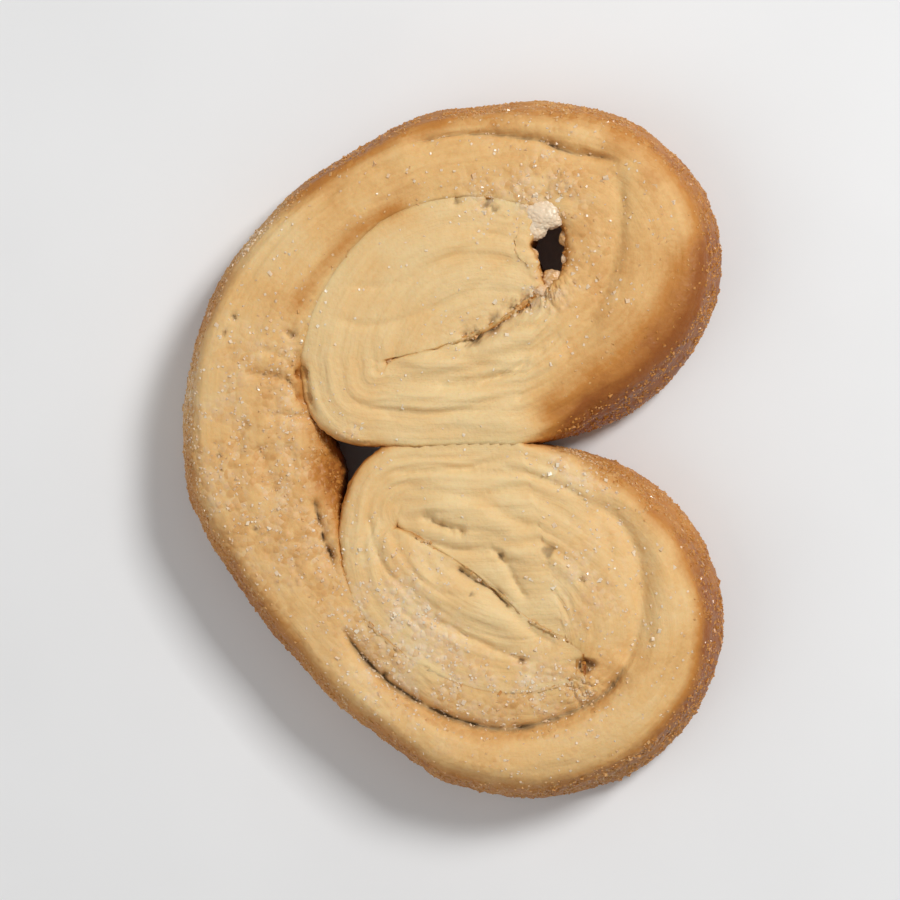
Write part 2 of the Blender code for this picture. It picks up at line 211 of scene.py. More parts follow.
BROWNED_AND_SHADED_LINES = [
    (0.42, 2.6, [(8, 2.2), (14, 4.6), (19, 8.2), (23.4, 12.6), (26, 18), (27.6, 24)]),
    (0.24, 1.4, [(18.6, -3), (22.6, -7), (26, -12), (28, -18), (26.6, -25), (20, -32)]),
    (0.02, 2.4, [(-25.6, -8), (-22, -15), (-18, -21), (-10, -29.4), (0, -35), (10, -37), (20, -33)]),
    (0.03, 0.7, [(10.6, 16.6), (9, 15.9), (7, 14.8), (5, 13.4), (3.4, 12.2)]),
    # Along the crown's seam: browning and a painted shadow
    (0.25, 1.0, [(-16.4, 13.5), (-15.2, 16), (-12, 20.4), (-8, 24), (-3, 26)]),
    (0.12, 0.6, [(-15.2, 10), (-15.2, 6), (-14.4, 4)]),
    (0.15, 1.2, [(16, 33.6), (20.5, 30.4), (22.6, 27)]),
    # Along the lower rim's crease: browning and painted shade
    (0.20, 0.7, [(-9, -22), (-5, -26), (2, -29.4), (9, -29.6), (16, -26.8), (19.6, -22)]),
    # Along the upper rim's crease: browning and painted shade
    (0.15, 0.6, [(2, 34.4), (8, 33.8), (13, 32.2), (18.6, 30.4)]),
]
SUGARED = [
    ((-6, -18), 5, 0.9), ((-2, -23.5), 5, 0.9), ((8, -26), 4.5, 0.8), ((14.5, -25), 3, 0.6),
    ((-13.5, -2), 4, 0.7), ((-24, -6), 9, 0.4), ((11.4, 17.4), 2.6, 0.9), ((10, 26.5), 3.5, 0.8),
    ((14.5, -14), 5, 0.4), ((-18, 10), 6, 0.35), ((4, 26.4), 2.5, 0.6), ((6, 13.6), 2.5, 0.4),
    ((5.5, -17.5), 3.5, -0.6), ((-15, -9), 4, 0.4), ((13, -1.2), 2.4, 0.9), ((17, -2.4), 2, 0.6),
    ((14.4, 22), 3, 0.5), ((8, 35.5), 7, 0.4), ((1, 13), 3, 0.3), ((-13, -12), 3, 0.4),
    ((12.4, 28), 1.8, 0.8), ((8.6, 27), 1.5, 0.6), ((9, 16), 1.2, 0.7), ((-10, 1), 2, 0.7), ((17, 16.5), 1, 0.7),
]

# Sugar and crumbs that caked at the upper lobe's eye and in the fissure below it: place, radii, brownness
LUMPS = [
    ((10.4, 24.9, 10.3), (2.1, 1.7, 1.0), 0.18), ((9.4, 23.3, 10.2), (1.2, 1.1, 0.8), 0.20),
    ((11.2, 24.2, 9.9), (1.0, 0.8, 0.7), 0.30), ((8.9, 20.6, 9.6), (0.9, 0.8, 0.8), 0.50),
    ((12.6, 22.4, 9.6), (0.6, 0.8, 0.8), 0.45), ((12.7, 20.2, 9.8), (0.5, 0.7, 0.6), 0.35),
    ((12.3, 26.4, 10.7), (1.1, 1.0, 0.4), 0.20), ((11.4, 18.0, 9.9), (1.3, 1.1, 1.0), 0.45),
    ((10.2, 16.9, 10.3), (1.0, 0.7, 0.7), 0.40), ((12.5, 17.2, 10.7), (1.0, 0.9, 0.4), 0.35),
]


def arc(ellipse, start, end, count=60):
    """Points on an ellipse ((centre), (radii), tilt) from one angle to another, in degrees."""
    centre, radii, tilt = ellipse
    angle = np.radians(np.linspace(start, end, count))
    x, y = radii[0] * np.cos(angle), radii[1] * np.sin(angle)
    c, s = math.cos(math.radians(tilt)), math.sin(math.radians(tilt))
    return np.stack([centre[0] + c * x - s * y, centre[1] + s * x + c * y], axis=1)


def smooth_line(points, steps=16):
    """A Catmull-Rom curve through a few points."""
    p = np.array(points, float)
    p = np.concatenate([[2 * p[0] - p[1]], p, [2 * p[-1] - p[-2]]])
    t = np.linspace(0, 1, steps, endpoint=False)[:, None]
    line = [
        0.5 * (2 * b + (c - a) * t + (2 * a - 5 * b + 4 * c - d) * t**2 + (3 * b - a - 3 * c + d) * t**3)
        for a, b, c, d in zip(p, p[1:], p[2:], p[3:])
    ]
    return np.concatenate([*line, p[-2:-1]])


def lengths(line):
    """Distance along a line from its start to each of its points."""
    return np.concatenate([[0.0], np.cumsum(np.linalg.norm(np.diff(line, axis=0), axis=1))])


def resample(line, count):
    """The same line as evenly spaced points."""
    along = lengths(line)
    at = np.linspace(0, along[-1], count)
    return np.stack([np.interp(at, along, line[:, k]) for k in (0, 1)], axis=1)


def parted(line, share):
    """A line cut in two at a share of its length."""
    even = resample(line, 101)
    cut = round(100 * share)
    return even[: cut + 1], even[cut:]


def outline():
    """The strip's free outer side, from the cleft round the heart and back to it, in five stretches."""
    lobe_top = arc(UPPER_LOBE, 68, 84, 4)
    back_top = arc(BACK, 122, 170, 8)
    crown = smooth_line([*lobe_top, *UPPER_FLANK, *back_top])
    back = smooth_line([*arc(BACK, 170, 194, 5), *LOWER_FLANK[:2]])
    bottom = smooth_line([*LOWER_FLANK[1:], *arc(LOWER_LOBE, 240, 290, 8)])
    return arc(UPPER_LOBE, -104, 68), crown, back, bottom, arc(LOWER_LOBE, 290, 452)


def fold_plan():
    """The stages of the strip, from the upper core to the lower core: outer side, inner side, section."""
    upper_lobe, crown, back, bottom, lower_lobe = outline()
    upper_seam, lower_seam = smooth_line(UPPER_SEAM), smooth_line(LOWER_SEAM)
    upper_crease, lower_crease = smooth_line(UPPER_CREASE), smooth_line(LOWER_CREASE)
    upper_pivot, lower_pivot = np.array([UPPER_PIVOT] * 2), np.array([LOWER_PIVOT] * 2)
    upper_contact, upper_lobe = parted(upper_lobe, CONTACT_SHARE)
    eye_foot, upper_eye = parted(smooth_line(UPPER_EYE), CONTACT_SHARE)
    lower_lobe, lower_contact = parted(lower_lobe, 1 - CONTACT_SHARE)
    lower_eye, eye_end = parted(smooth_line(LOWER_EYE), 1 - CONTACT_SHARE)
    return [
        (upper_seam, upper_crease, UPPER_CORE),
        (smooth_line(UPPER_TIP), upper_pivot, UPPER_FOLD),
        (smooth_line(UPPER_CONTACT), upper_crease[::-1], UPPER_RETURN),
        (upper_contact, eye_foot, UPPER_RETURN),
        (upper_lobe, upper_eye, UPPER_RIM),
        (crown, upper_seam, CROWN_RIM),
        (back, smooth_line(BACK_INSIDE), BACK_RIM),
        (bottom, lower_seam, LOWER_RIM),
        (lower_lobe, lower_eye, LOWER_RIM),
        (lower_contact, eye_end, LOWER_RETURN),
        (smooth_line(LOWER_CONTACT), lower_crease[::-1], LOWER_RETURN),
        (smooth_line(LOWER_TIP), lower_pivot, LOWER_FOLD),
        (lower_seam, lower_crease, LOWER_CORE),
    ]


def rolling_mean(values, reach):
    """Each row averaged with its neighbours up to reach rows away."""
    padded = np.pad(values, ((reach, reach), (0, 0)), mode="edge")
    total = np.cumsum(np.vstack([np.zeros((1, values.shape[1])), padded]), axis=0)
    span = 2 * reach + 1
    return (total[span:] - total[:-span]) / span


def smoothstep(low, high, value):
    t = np.clip((value - low) / (high - low), 0.0, 1.0)
    return t * t * (3 - 2 * t)


def noise_at(points, scale, octaves=1, seed=0.0):
    """Smooth noise of about -1 to 1 at each point; scale is the size of its bumps, in millimetres."""
    at = points / scale + seed * np.array([17.3, -9.1, 5.7])
    shape = at.shape[:-1]
    rows = at.reshape(-1, 3).tolist()
    if octaves == 1:
        values = [noise.noise(p) for p in rows]
    else:
        values = [noise.fractal(p, 0.9, 2.1, octaves) for p in rows]
    return np.array(values).reshape(shape)


def grains_at(points, size, seed=0.0):
    """Rounded bumps packed side by side, 0 between them and 1 on top, at each point."""
    at = points / size + seed
    rows = at.reshape(-1, 3).tolist()
    near = np.array([noise.voronoi(p)[0][:2] for p in rows])
    return smoothstep(0.0, 0.55, near[:, 1] - near[:, 0]).reshape(at.shape[:-1])


def line_distance(points, line, reach):
    """Distance in plan from each point to a line, how far along it from 0 to 1, and its side, left or right.

    Points further off than reach are given as infinitely far.
    """
    flat = points[..., :2].reshape(-1, 2)
    inside = np.all((flat > line.min(axis=0) - reach) & (flat < line.max(axis=0) + reach), axis=1)
    near = flat[inside]
    best, place, side = np.full(len(near), np.inf), np.zeros(len(near)), np.ones(len(near))
    along = lengths(line) / lengths(line)[-1]
    for a, b, start, end in zip(line, line[1:], along, along[1:]):
        step, to_point = b - a, near - a
        t = np.clip((to_point @ step) / (step @ step), 0.0, 1.0)
        gap = np.linalg.norm(to_point - t[:, None] * step, axis=1)
        nearer = gap < best
        best[nearer] = gap[nearer]
        place[nearer] = (start + t * (end - start))[nearer]
        side[nearer] = np.sign(step[0] * to_point[:, 1] - step[1] * to_point[:, 0])[nearer]
    whole = [np.full(len(flat), fill) for fill in (np.inf, 0.0, 1.0)]
    for full, part in zip(whole, (best, place, side)):
        full[inside] = part
    return [full.reshape(points.shape[:-1]) for full in whole]


# The strip's surface ---------------------------------------------------------------------------------

def stations(pitch):
    """Outer and inner points, section values and distance along the strip of every cross-section."""
    outer, inner, values = [], [], []
    for outer_line, inner_line, section in fold_plan():
        count = round(max(lengths(outer_line)[-1], lengths(inner_line)[-1]) / pitch)
        outer.append(resample(outer_line, count + 1)[:-1])
        inner.append(resample(inner_line, count + 1)[:-1])
        values.append(np.tile(np.hstack(section), (count, 1)))
    outer, inner = np.concatenate(outer), np.concatenate(inner)
    values = rolling_mean(np.concatenate(values), round(BLEND_REACH / pitch))
    along = lengths(0.5 * (outer + inner))
    return outer, inner, values, along


def worked_edges(inner, along, values):
    """Let the rounded edges' depth come and go along the strip, and slope the back down to the gap."""
    values = values.copy()
    for column, seed in ((3, 1.0), (5, 2.0)):
        places = np.stack([along, np.zeros_like(along), np.zeros_like(along)], axis=1)
        values[:, column] *= 1 + 0.55 * noise_at(places, 9.0, seed=seed)
    near_gap = np.exp(-((np.linalg.norm(inner - GAP_PLACE, axis=1) / GAP_REACH) ** 2))
    values[:, 4:6] += near_gap[:, None] * GAP_SLOPE
    return values


def pressed(inner):
    """How far the inner side is pressed in: nothing at a pivot, where the strip folds on itself."""
    reach = np.minimum(*(np.linalg.norm(inner - pivot, axis=1) for pivot in (UPPER_PIVOT, LOWER_PIVOT)))
    return PRESS * np.minimum(1.0, reach / PRESS_START)


def quarter_round(start, width, base, height, turns):
    """Points round a quarter ellipse: along the strip's width from start, and up from base."""
    return [(start + width * math.cos(a), base + height * math.sin(a)) for a in np.radians(turns)]


def profile(width, press, values):
    """Every cross-section's outline as (station, place round it, across or up or density)."""
    height, bulge, outer_w, outer_drop, inner_w, inner_drop, lift = values.T[:7]
    top, side = THICKNESS * height, width + press
    outer_w, inner_w = np.minimum(outer_w, EDGE_SHARE * side), np.minimum(inner_w, EDGE_SHARE * side)
    foot, wall_top, lean = lift + BASE_EDGE, top - outer_drop, bulge - PRESS
    inner_foot = lift + INNER_BASE_EDGE
    round_turns = np.linspace(0, 90, 9)

    base_edge = quarter_round(BASE_EDGE, -BASE_EDGE - PRESS, foot, -BASE_EDGE, round_turns[::-1])
    wall = [
        (bulge * (1 - math.sin(math.pi * (0.35 + 0.65 * share))) - PRESS, foot + share * (wall_top - foot))
        for share in np.linspace(0, 1, 12)[:-1]
    ]
    shoulder = quarter_round(outer_w, lean - outer_w, wall_top, outer_drop, round_turns)
    flat = [
        (outer_w + share * (side - outer_w - inner_w), top + TOP_CROWN * math.sin(math.pi * share))
        for share in np.linspace(0, 1, 12)[1:-1]
    ]
    inner_shoulder = quarter_round(side - inner_w, inner_w, top - inner_drop, inner_drop, round_turns[::-1])
    inner_wall = [(side, top - inner_drop + share * (inner_foot - top + inner_drop)) for share in (0.3, 0.6)]
    inner_edge = quarter_round(
        side - INNER_BASE_EDGE, INNER_BASE_EDGE, inner_foot, -INNER_BASE_EDGE, round_turns[::2]
    )
    base = [(side - INNER_BASE_EDGE + share * (BASE_EDGE + INNER_BASE_EDGE - side), lift) for share in (0.5, 1.0)]

    stretches = [
        (base_edge, 0.7), (wall, 0.75), (shoulder, 1.0), (flat, 1.15),
        (inner_shoulder, 0.9), (inner_wall, 0.3), (inner_edge, 0.5), (base, 0.5),
    ]
    rows = [(*np.broadcast_arrays(*point, weight)[:2], np.full_like(width, weight))
            for stretch, weight in stretches for point in stretch]
    return np.array(rows).transpose(2, 0, 1)


def spaced(outlines):
    """Each outline as RING_POINTS points, closest together where its density is highest."""
    rings = np.empty((len(outlines), RING_POINTS, 2))
    for ring, outline_points in zip(rings, outlines):
        steps = np.linalg.norm(np.diff(outline_points[:, :2], axis=0), axis=1) * outline_points[1:, 2]
        reach = np.concatenate([[0.0], np.cumsum(steps)])
        at = np.linspace(0, reach[-1], RING_POINTS + 1)[:-1]
        for k in (0, 1):
            ring[:, k] = np.interp(at, reach, outline_points[:, k])
    return rings


def normals_of(points):
    """Unit normals of a closed tube of points, pointing out of it."""
    forward = np.gradient(points, axis=0)
    round_it = np.roll(points, -1, axis=1) - np.roll(points, 1, axis=1)
    normal = np.cross(forward, round_it)
    size = np.linalg.norm(normal, axis=2, keepdims=True)
    return normal / np.maximum(size, 1e-9)


def end_cap(ring, outward, bevel):
    """Rings that round off an end of the strip and close it, from its last cross-section to a point."""
    inward = ring.mean(axis=0) - ring
    inward /= np.linalg.norm(inward, axis=1, keepdims=True)
    rings = [
        ring + inward * bevel * (1 - math.cos(turn)) + outward * math.sin(turn)
        for turn in np.radians((30, 60, 90))
    ]
    edge, middle = rings[-1], rings[-1].mean(axis=0)
    return np.array(rings + [edge + share * (middle - edge) for share in (0.2, 0.4, 0.6, 0.8, 1.0)])


def crumbled(points, along, heading):
    """The strip with its first end crumbled back unevenly, most of all at the eye."""
    place, reach, depth = END_BITE
    bitten = depth * np.exp(-((np.linalg.norm(points[..., :2] - place, axis=-1) / reach) ** 2))
    ragged = bitten + 0.3 + 0.6 * noise_at(points * (1.0, 1.0, 0.15), 1.3, 2, seed=13.0)
    return points + heading * (smoothstep(END_FADE, 0.0, along) * ragged)[..., None]


Strip = namedtuple("Strip", "points normals along across share values")


def bare_strip(pitch):
    """The strip before baking: its points, normals, own coordinates and section values."""
    outer, inner, values, along = stations(pitch)
    width = np.linalg.norm(inner - outer, axis=1)
    rings = spaced(profile(width, pressed(inner), worked_edges(inner, along, values)))
    direction = (inner - outer) / width[:, None]
    plan = outer[:, None] + direction[:, None] * rings[..., :1]
    points = np.concatenate([plan, rings[..., 1:]], axis=2)
    first, last = (points[k].mean(axis=0) - points[n].mean(axis=0) for k, n in ((0, 1), (-1, -2)))
    first, last = first / np.linalg.norm(first), last / np.linalg.norm(last)
    caps = end_cap(points[0], first * UPPER_END_DEPTH, END_BEVEL), end_cap(points[-1], last * LOWER_END_DEPTH, SEAM_BEVEL)
    spare = (len(caps[0]), len(caps[1]))
    points = np.concatenate([caps[0][::-1], points, caps[1]])
    along, values, share = (
        np.concatenate([np.repeat(part[:1], spare[0], 0), part, np.repeat(part[-1:], spare[1], 0)])
        for part in (along, values, rings[..., 0] / width[:, None])
    )
    along = np.repeat(along[:, None], RING_POINTS, axis=1)
    points = crumbled(points, along, -first)
    normals = normals_of(points)
    top = points[..., 2] > 0.8 * THICKNESS
    normals *= np.sign(normals[..., 2][top].mean())
    girth = np.linalg.norm(points - np.roll(points, 1, axis=1), axis=2)
    girth[:, 0] = 0.0
    return Strip(points, normals, along, np.cumsum(girth, axis=1), share, values)


def on_strip(strip, length, width, seed=0.0):
    """The strip's own coordinates, along and across, in steps of a length and a width."""
    return np.stack([strip.along / length, strip.across / width, np.full_like(strip.along, seed)], axis=2)


def puffed_plies(strip, length, width, seed):
    """Rounded ridges with narrow valleys between them, which run along the strip; about -0.5 to 0.5."""
    waver_at = noise_at(on_strip(strip, 14.0, 5.0, seed + 3.0), 1.0)
    where = on_strip(strip, length, width, seed)
    where[..., 1] += 0.7 * waver_at
    return np.minimum(1.0, 2.4 * np.abs(noise_at(where, 1.0))) - 0.5


def spots(points, places):
    """Soft round spots (place, radius, amount), added together."""
    total = np.zeros(points.shape[:-1])
    for place, radius, amount in places:
        gap = np.linalg.norm(points[..., :2] - place, axis=-1)
        total += amount * np.exp(-((gap / radius) ** 2))
    return total


# Where grains of sugar and crumbs heaped up: place, radius, height
HEAPS = [
    ((12.2, 17.0), 1.4, 0.55), ((9.6, 16.4), 1.0, 0.5), ((12.6, 28.0), 1.3, 0.35), ((8.4, 27.0), 1.2, 0.35),
    ((7.4, 15.6), 0.8, 0.4), ((5.6, 14.4), 0.8, 0.35), ((11.6, 15.6), 1.1, 0.3), ((15.2, -24.6), 1.5, 0.4),
    ((13, -25.4), 1.2, 0.3), ((8, -25.8), 1.4, 0.2), ((-2, -23.6), 1.6, 0.2), ((12.6, -1.0), 1.2, 0.3),
    ((15.6, -2.4), 1.2, 0.3), ((-10.6, 1.2), 1.2, 0.25), ((-16.8, 9.4), 1.2, 0.3),
]


def lines_on_top(points):
    """Height that the named grooves, folds and pits add on top, and how deep in a groove or pit each point is, which
    the colour darkens with browning and painted shade.
    """
    height, hollow = np.zeros(points.shape[:-1]), np.zeros(points.shape[:-1])
    uneven = 0.9 + 0.35 * noise_at(points, 2.4, seed=12.0)
    broken = smoothstep(-0.35, 0.35, noise_at(points, 0.75, 2, seed=14.0))
    for groove in GROOVES:
        gap, place, side = line_distance(points, smooth_line(groove.line, 8), 6.0)
        taper = smoothstep(0.0, 0.12, place) * smoothstep(1.0, 0.88, place)
        cut = taper * uneven * np.exp(-((gap / groove.half_width) ** 1.4)) * (1 - groove.rough * broken)
        height -= groove.depth * cut + groove.roll * taper * np.exp(-((gap / 1.8) ** 2))
        height -= 0.5 * groove.step * taper * side * np.exp(-((gap / 3.0) ** 2)) * smoothstep(0, 0.5, gap)
        # The groove's mask for colour: browned dough and painted shade in the groove
        hollow = np.maximum(hollow, cut * smoothstep(0.35, 1.1, groove.depth))
    for ridge in RIDGES:
        gap, place, _ = line_distance(points, smooth_line(ridge.line, 8), 3 * ridge.half_width)
        taper = smoothstep(0.0, 0.2, place) * smoothstep(1.0, 0.8, place)
        height += ridge.height * taper * np.exp(-((gap / ridge.half_width) ** 2))
    for place, radius, depth in PITS:
        gap = np.linalg.norm(points[..., :2] - place, axis=-1)
        pit = smoothstep(1.3 * radius, 0.3 * radius, gap + 0.7 * radius * noise_at(points, radius))
        height -= depth * pit
        # Pits darken the colour the same way: browned dough and painted shade
        hollow = np.maximum(hollow, 0.6 * pit)
    heaped = sum(high * np.exp(-((np.linalg.norm(points[..., :2] - at, axis=-1) / wide) ** 2)) for at, wide, high in HEAPS)
    height += heaped * (0.4 + 0.9 * grains_at(points, 0.7, seed=15.0))
    return height, hollow


Baked = namedtuple("Baked", "points bake crust hollow loose along across")


def bake_strip(strip, settings):
    """Part the plies, crust the sides with sugar and brown what faces the oven, painting some light and shade into the
    browning and the hollows.
    """
    points, normals = strip.points, strip.normals
    up = normals[..., 2]
    top, base = smoothstep(0.4, 0.85, up), smoothstep(0.5, 0.9, -up)
    side = np.clip(1.0 - top - base, 0.0, 1.0)
    ply, crust_share, toast_share = (strip.values[:, k : k + 1] for k in (7, 8, 9))

    crust = np.clip(crust_share * (top + side) + 0.5 * side + spots(points, SUGARED) * (top + 0.25 * side), 0.0, 1.0)
    crust *= smoothstep(-0.75, 0.15, noise_at(points, 2.6, 2, seed=4.0))
    coarse, fine = puffed_plies(strip, 13.0, 1.9, 1.0), puffed_plies(strip, 8.0, 0.8, 2.0)
    flush = np.ones_like(up)
    for seam in (LOWER_SEAM + LOWER_EYE[1:], UPPER_SEAM, UPPER_CONTACT, LOWER_CREASE):
        seam_gap = line_distance(points, smooth_line(seam), SEAM_REACH)[0]
        flush *= smoothstep(0.3, SEAM_REACH, np.minimum(seam_gap, SEAM_REACH))
    plies = ply / 0.2 * flush * (1.0 - 0.7 * crust) * (coarse + 0.45 * fine)
    lumps = 0.7 * noise_at(points, 1.3, 2, seed=6.0) + (0.4 + 0.6 * side) * (grains_at(points, 0.9, seed=7.0) - 0.6)
    wrinkles = puffed_plies(strip, 5.0, 1.3, 5.0)
    named, hollow = lines_on_top(points)

    height = top * (settings.ply_depth / MM * plies + settings.relief * named)
    height += (top + side) * settings.crust_depth / MM * crust * lumps
    height += settings.swell / MM * (top * noise_at(points, 9.0, seed=8.0) + side * noise_at(points, 7.0, seed=9.0))
    height += side * 0.10 * wrinkles
    height -= base * 0.25 * smoothstep(0.0, 0.6, noise_at(points, 3.2, 2, seed=10.0) - 0.25 * coarse)
    free = smoothstep(0.0, PRESS_START, np.minimum(*(
        np.linalg.norm(points[..., :2] - pivot, axis=-1) for pivot in (UPPER_PIVOT, LOWER_PIVOT)
    )))
    baked = points + normals * (height * free)[..., None]
    above = np.maximum(baked[..., 2] - THICKNESS, 0.0)
    baked[..., 2] = np.maximum(baked[..., 2] - (1.0 - HEADROOM) * above, 0.0)

    tilt = np.arccos(np.clip(up, -1.0, 1.0)) / (0.5 * math.pi)
    bake = toast_share + 0.46 * smoothstep(0.08, 0.9, tilt) + 0.12 * smoothstep(5.0, 0.5, points[..., 2])
    # Spots and lines of browning, among them pale painted light on shaded sides and dark painted shade along creases
    # and seams
    bake += spots(points, TOAST_AND_PAINTED_LIGHT) * (0.35 + 0.65 * smoothstep(0.05, 0.7, tilt))
    for amount, half_width, line in BROWNED_AND_SHADED_LINES:
        gap, place, _ = line_distance(points, smooth_line(line, 8), 3 * half_width)
        taper = smoothstep(0.0, 0.15, place) * smoothstep(1.0, 0.85, place)
        bake += amount * taper * (top + side) * np.exp(-((gap / half_width) ** 2))
    # Random tone, and the plies' ridges paler and their valleys browner: painted shade in the valleys
    bake += 0.10 * noise_at(points, 5.0, 2, seed=11.0) - 0.05 * top * plies
    lift = strip.values[:, 6:7]
    in_sight = np.where(strip.share < 0.5, smoothstep(0.3, 0.1, lift), smoothstep(-3.0, -1.0, points[..., 2] - 9.5))
    loose = crust * np.maximum(0.35 * top, side * in_sight)
    return Baked(baked, np.clip(bake, 0.0, 1.0), crust, hollow * top, loose, strip.along, strip.across)


def plan_shift(points):
    """What moves the fold plan, in millimetres, to where the solid stands."""
    low, high = points.reshape(-1, 3).min(axis=0), points.reshape(-1, 3).max(axis=0)
    middle = 0.5 * (np.array(CAD_BOX[0]) + np.array(CAD_BOX[1])) / MM
    return np.array([*(middle - 0.5 * (low + high))[:2], CAD_BOX[0][2] / MM])


def strip_mesh(baked, shift):
    """The baked strip as one closed bmesh, in metres and in the solid's place, with its attributes."""
    rows, columns = baked.bake.shape
    bm = bmesh.new()
    bmesh.ops.create_grid(bm, x_segments=columns, y_segments=rows - 1, size=1.0)
    fields = {name: bm.verts.layers.float.new(name) for name in ("bake", "crust", "hollow", "loose")}
    ply_place = bm.verts.layers.float_vector.new("ply_place")
    points = (baked.points + shift) * MM
    for k, vert in enumerate(bm.verts):
        row, column = divmod(k, columns + 1)
        column %= columns
        vert.co = points[row, column]
        for name, layer in fields.items():
            vert[layer] = getattr(baked, name)[row, column]
        vert[ply_place] = (baked.along[row, column], baked.across[row, column], 0.0)
    bmesh.ops.remove_doubles(bm, verts=bm.verts[:], dist=0.02 * MM)
    bmesh.ops.recalc_face_normals(bm, faces=bm.faces[:])
    return bm


def new_piece(name, mesh):
    """Link a finished mesh as a piece of the pastry."""
    piece = bpy.data.objects.new(name, mesh)
    bpy.context.scene.collection.objects.link(piece)
    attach(piece, "root")
    return piece


# Materials -------------------------------------------------------------------------------------------

def add(tree, kind, inputs=None, **settings):
    """A new node; each input is a value or the socket that feeds it."""
    node = tree.nodes.new(kind)
    for name, value in settings.items():
        setattr(node, name, value)
    for name, value in (inputs or {}).items():
        if isinstance(value, bpy.types.NodeSocket):
            tree.links.new(value, node.inputs[name])
        else:
            node.inputs[name].default_value = value
    return node


def calculate(tree, operation, *values):
    """A Math node of numbers or sockets."""
    return add(tree, "ShaderNodeMath", dict(enumerate(values)), operation=operation).outputs[0]


def total(tree, *values):
    """The sum of several sockets or numbers."""
    result = values[0]
    for value in values[1:]:
        result = calculate(tree, "ADD", result, value)
    return result


def swing(tree, value, amount):
    """A 0 to 1 pattern turned into one that swings to each side of zero, by half the amount."""
    return calculate(tree, "MULTIPLY_ADD", value, amount, -0.5 * amount)


def between(tree, value, low, high):
    """A socket's value as 0 below low, 1 above high and smooth between them."""
    inputs = {"Value": value, "From Min": low, "From Max": high}
    return add(tree, "ShaderNodeMapRange", inputs, interpolation_type="SMOOTHSTEP").outputs[0]


def mixed(tree, factor, first, second):
    """Two colours, or sockets of colours, mixed."""
    node = add(tree, "ShaderNodeMix", data_type="RGBA")
    for socket, value in ((node.inputs[0], factor), (node.inputs[6], first), (node.inputs[7], second)):
        if isinstance(value, bpy.types.NodeSocket):
            tree.links.new(value, socket)
        else:
            socket.default_value = value
    return node.outputs[2]


def speckle(tree, vector, size, detail=2.0, roughness=0.5):
    """A cloudy pattern whose spots are about size metres across."""
    inputs = {"Vector": vector, "Scale": 1.0 / size, "Detail": detail, "Roughness": roughness}
    return add(tree, "ShaderNodeTexNoise", inputs).outputs["Fac"]


def attribute(tree, name, output="Fac"):
    return add(tree, "ShaderNodeAttribute", attribute_name=name).outputs[output]


def new_material(name):
    """An empty material, its node tree and its shader."""
    material = bpy.data.materials.new(name)
    material.use_nodes = True
    return material, material.node_tree, material.node_tree.nodes["Principled BSDF"]


def set_inputs(tree, node, inputs):
    for name, value in inputs.items():
        if isinstance(value, bpy.types.NodeSocket):
            tree.links.new(value, node.inputs[name])
        else:
            node.inputs[name].default_value = value


def ramp(tree, value, stops):
    """A colour for each value, from (place, colour) stops."""
    node = add(tree, "ShaderNodeValToRGB", {"Fac": value})
    while len(node.color_ramp.elements) < len(stops):
        node.color_ramp.elements.new(1.0)
    for element, (place, colour) in zip(node.color_ramp.elements, stops):
        element.position = place
        element.color = (*colour, 1.0)
    return node.outputs["Color"]


